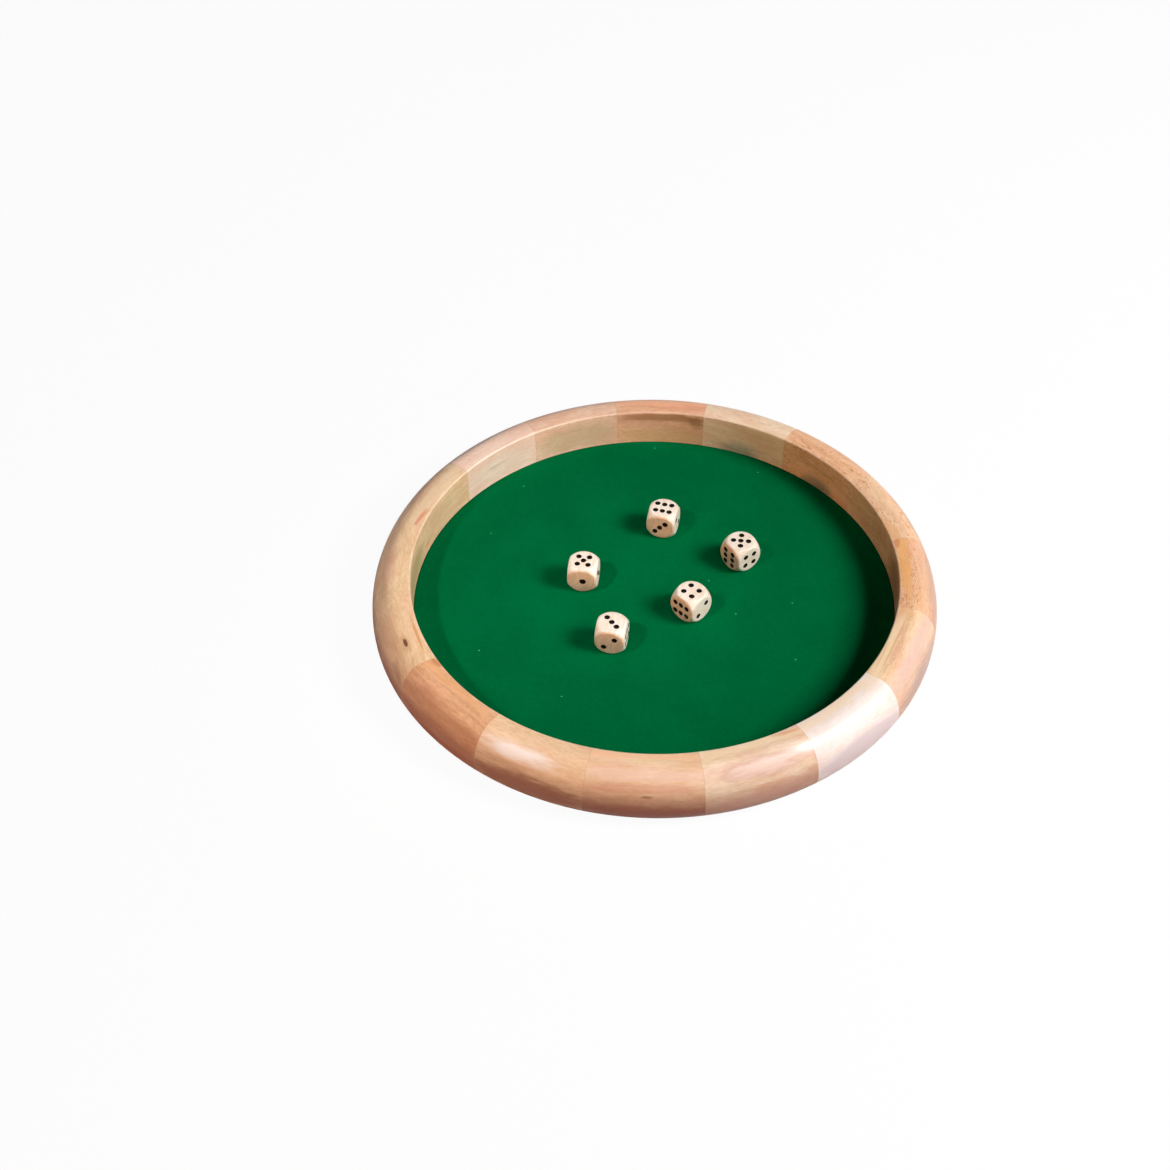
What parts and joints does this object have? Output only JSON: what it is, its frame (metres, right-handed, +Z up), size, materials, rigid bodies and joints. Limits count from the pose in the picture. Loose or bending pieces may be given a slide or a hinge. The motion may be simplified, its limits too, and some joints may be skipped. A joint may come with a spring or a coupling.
{
  "type": "dice tray",
  "caption": "Round wooden dice tray, its rolled ring glued up from sector blocks around a green felt floor, with wooden dice lying in it.",
  "frame": {"origin": "centre of the ring's flat foot, on the surface that the tray stands on", "axes": "+Z up out of the tray, -Y to the front as pictured, +X to the right"},
  "size_m": [0.3, 0.3, 0.03],
  "materials": {
    "wood_cream": "satin",
    "wood_straw": "satin",
    "wood_tan": "satin",
    "wood_peach": "satin",
    "wood_salmon": "satin",
    "wood_amber": "satin",
    "plywood": "bare, sanded",
    "green_felt": "pressed felt, matt",
    "screw_steel": "zinc plated",
    "dice_wood": "satin lacquer"
  },
  "bodies": {
    "tray": {"ring_block_01": "wood_straw", "ring_block_02": "wood_amber", "ring_block_03": "wood_straw", "ring_block_04": "wood_salmon", "ring_block_05": "wood_tan", "ring_block_06": "wood_cream", "ring_block_07": "wood_tan", "ring_block_08": "wood_straw", "ring_block_09": "wood_straw", "ring_block_10": "wood_salmon", "ring_block_11": "wood_cream", "ring_block_12": "wood_peach", "ring_block_13": "wood_peach", "ring_block_14": "wood_cream", "ring_block_15": "wood_peach", "ring_block_16": "wood_amber", "base_board": "plywood", "play_felt": "green_felt", "base_screws": "screw_steel"},
    "left_die": {"die_left": "dice_wood"},
    "front_die": {"die_front": "dice_wood"},
    "back_die": {"die_back": "dice_wood"},
    "right_die": {"die_right": "dice_wood"},
    "middle_die": {"die_middle": "dice_wood"}
  },
  "joints": [
    {"name": "left_die_lift", "type": "slide", "parent": "tray", "child": "left_die", "axis": [0, 0, 1], "range_m": [0, 0.06]},
    {"name": "front_die_lift", "type": "slide", "parent": "tray", "child": "front_die", "axis": [0, 0, 1], "range_m": [0, 0.06]},
    {"name": "back_die_lift", "type": "slide", "parent": "tray", "child": "back_die", "axis": [0, 0, 1], "range_m": [0, 0.06]},
    {"name": "right_die_lift", "type": "slide", "parent": "tray", "child": "right_die", "axis": [0, 0, 1], "range_m": [0, 0.06]},
    {"name": "middle_die_lift", "type": "slide", "parent": "tray", "child": "middle_die", "axis": [0, 0, 1], "range_m": [0, 0.06]}
  ]
}
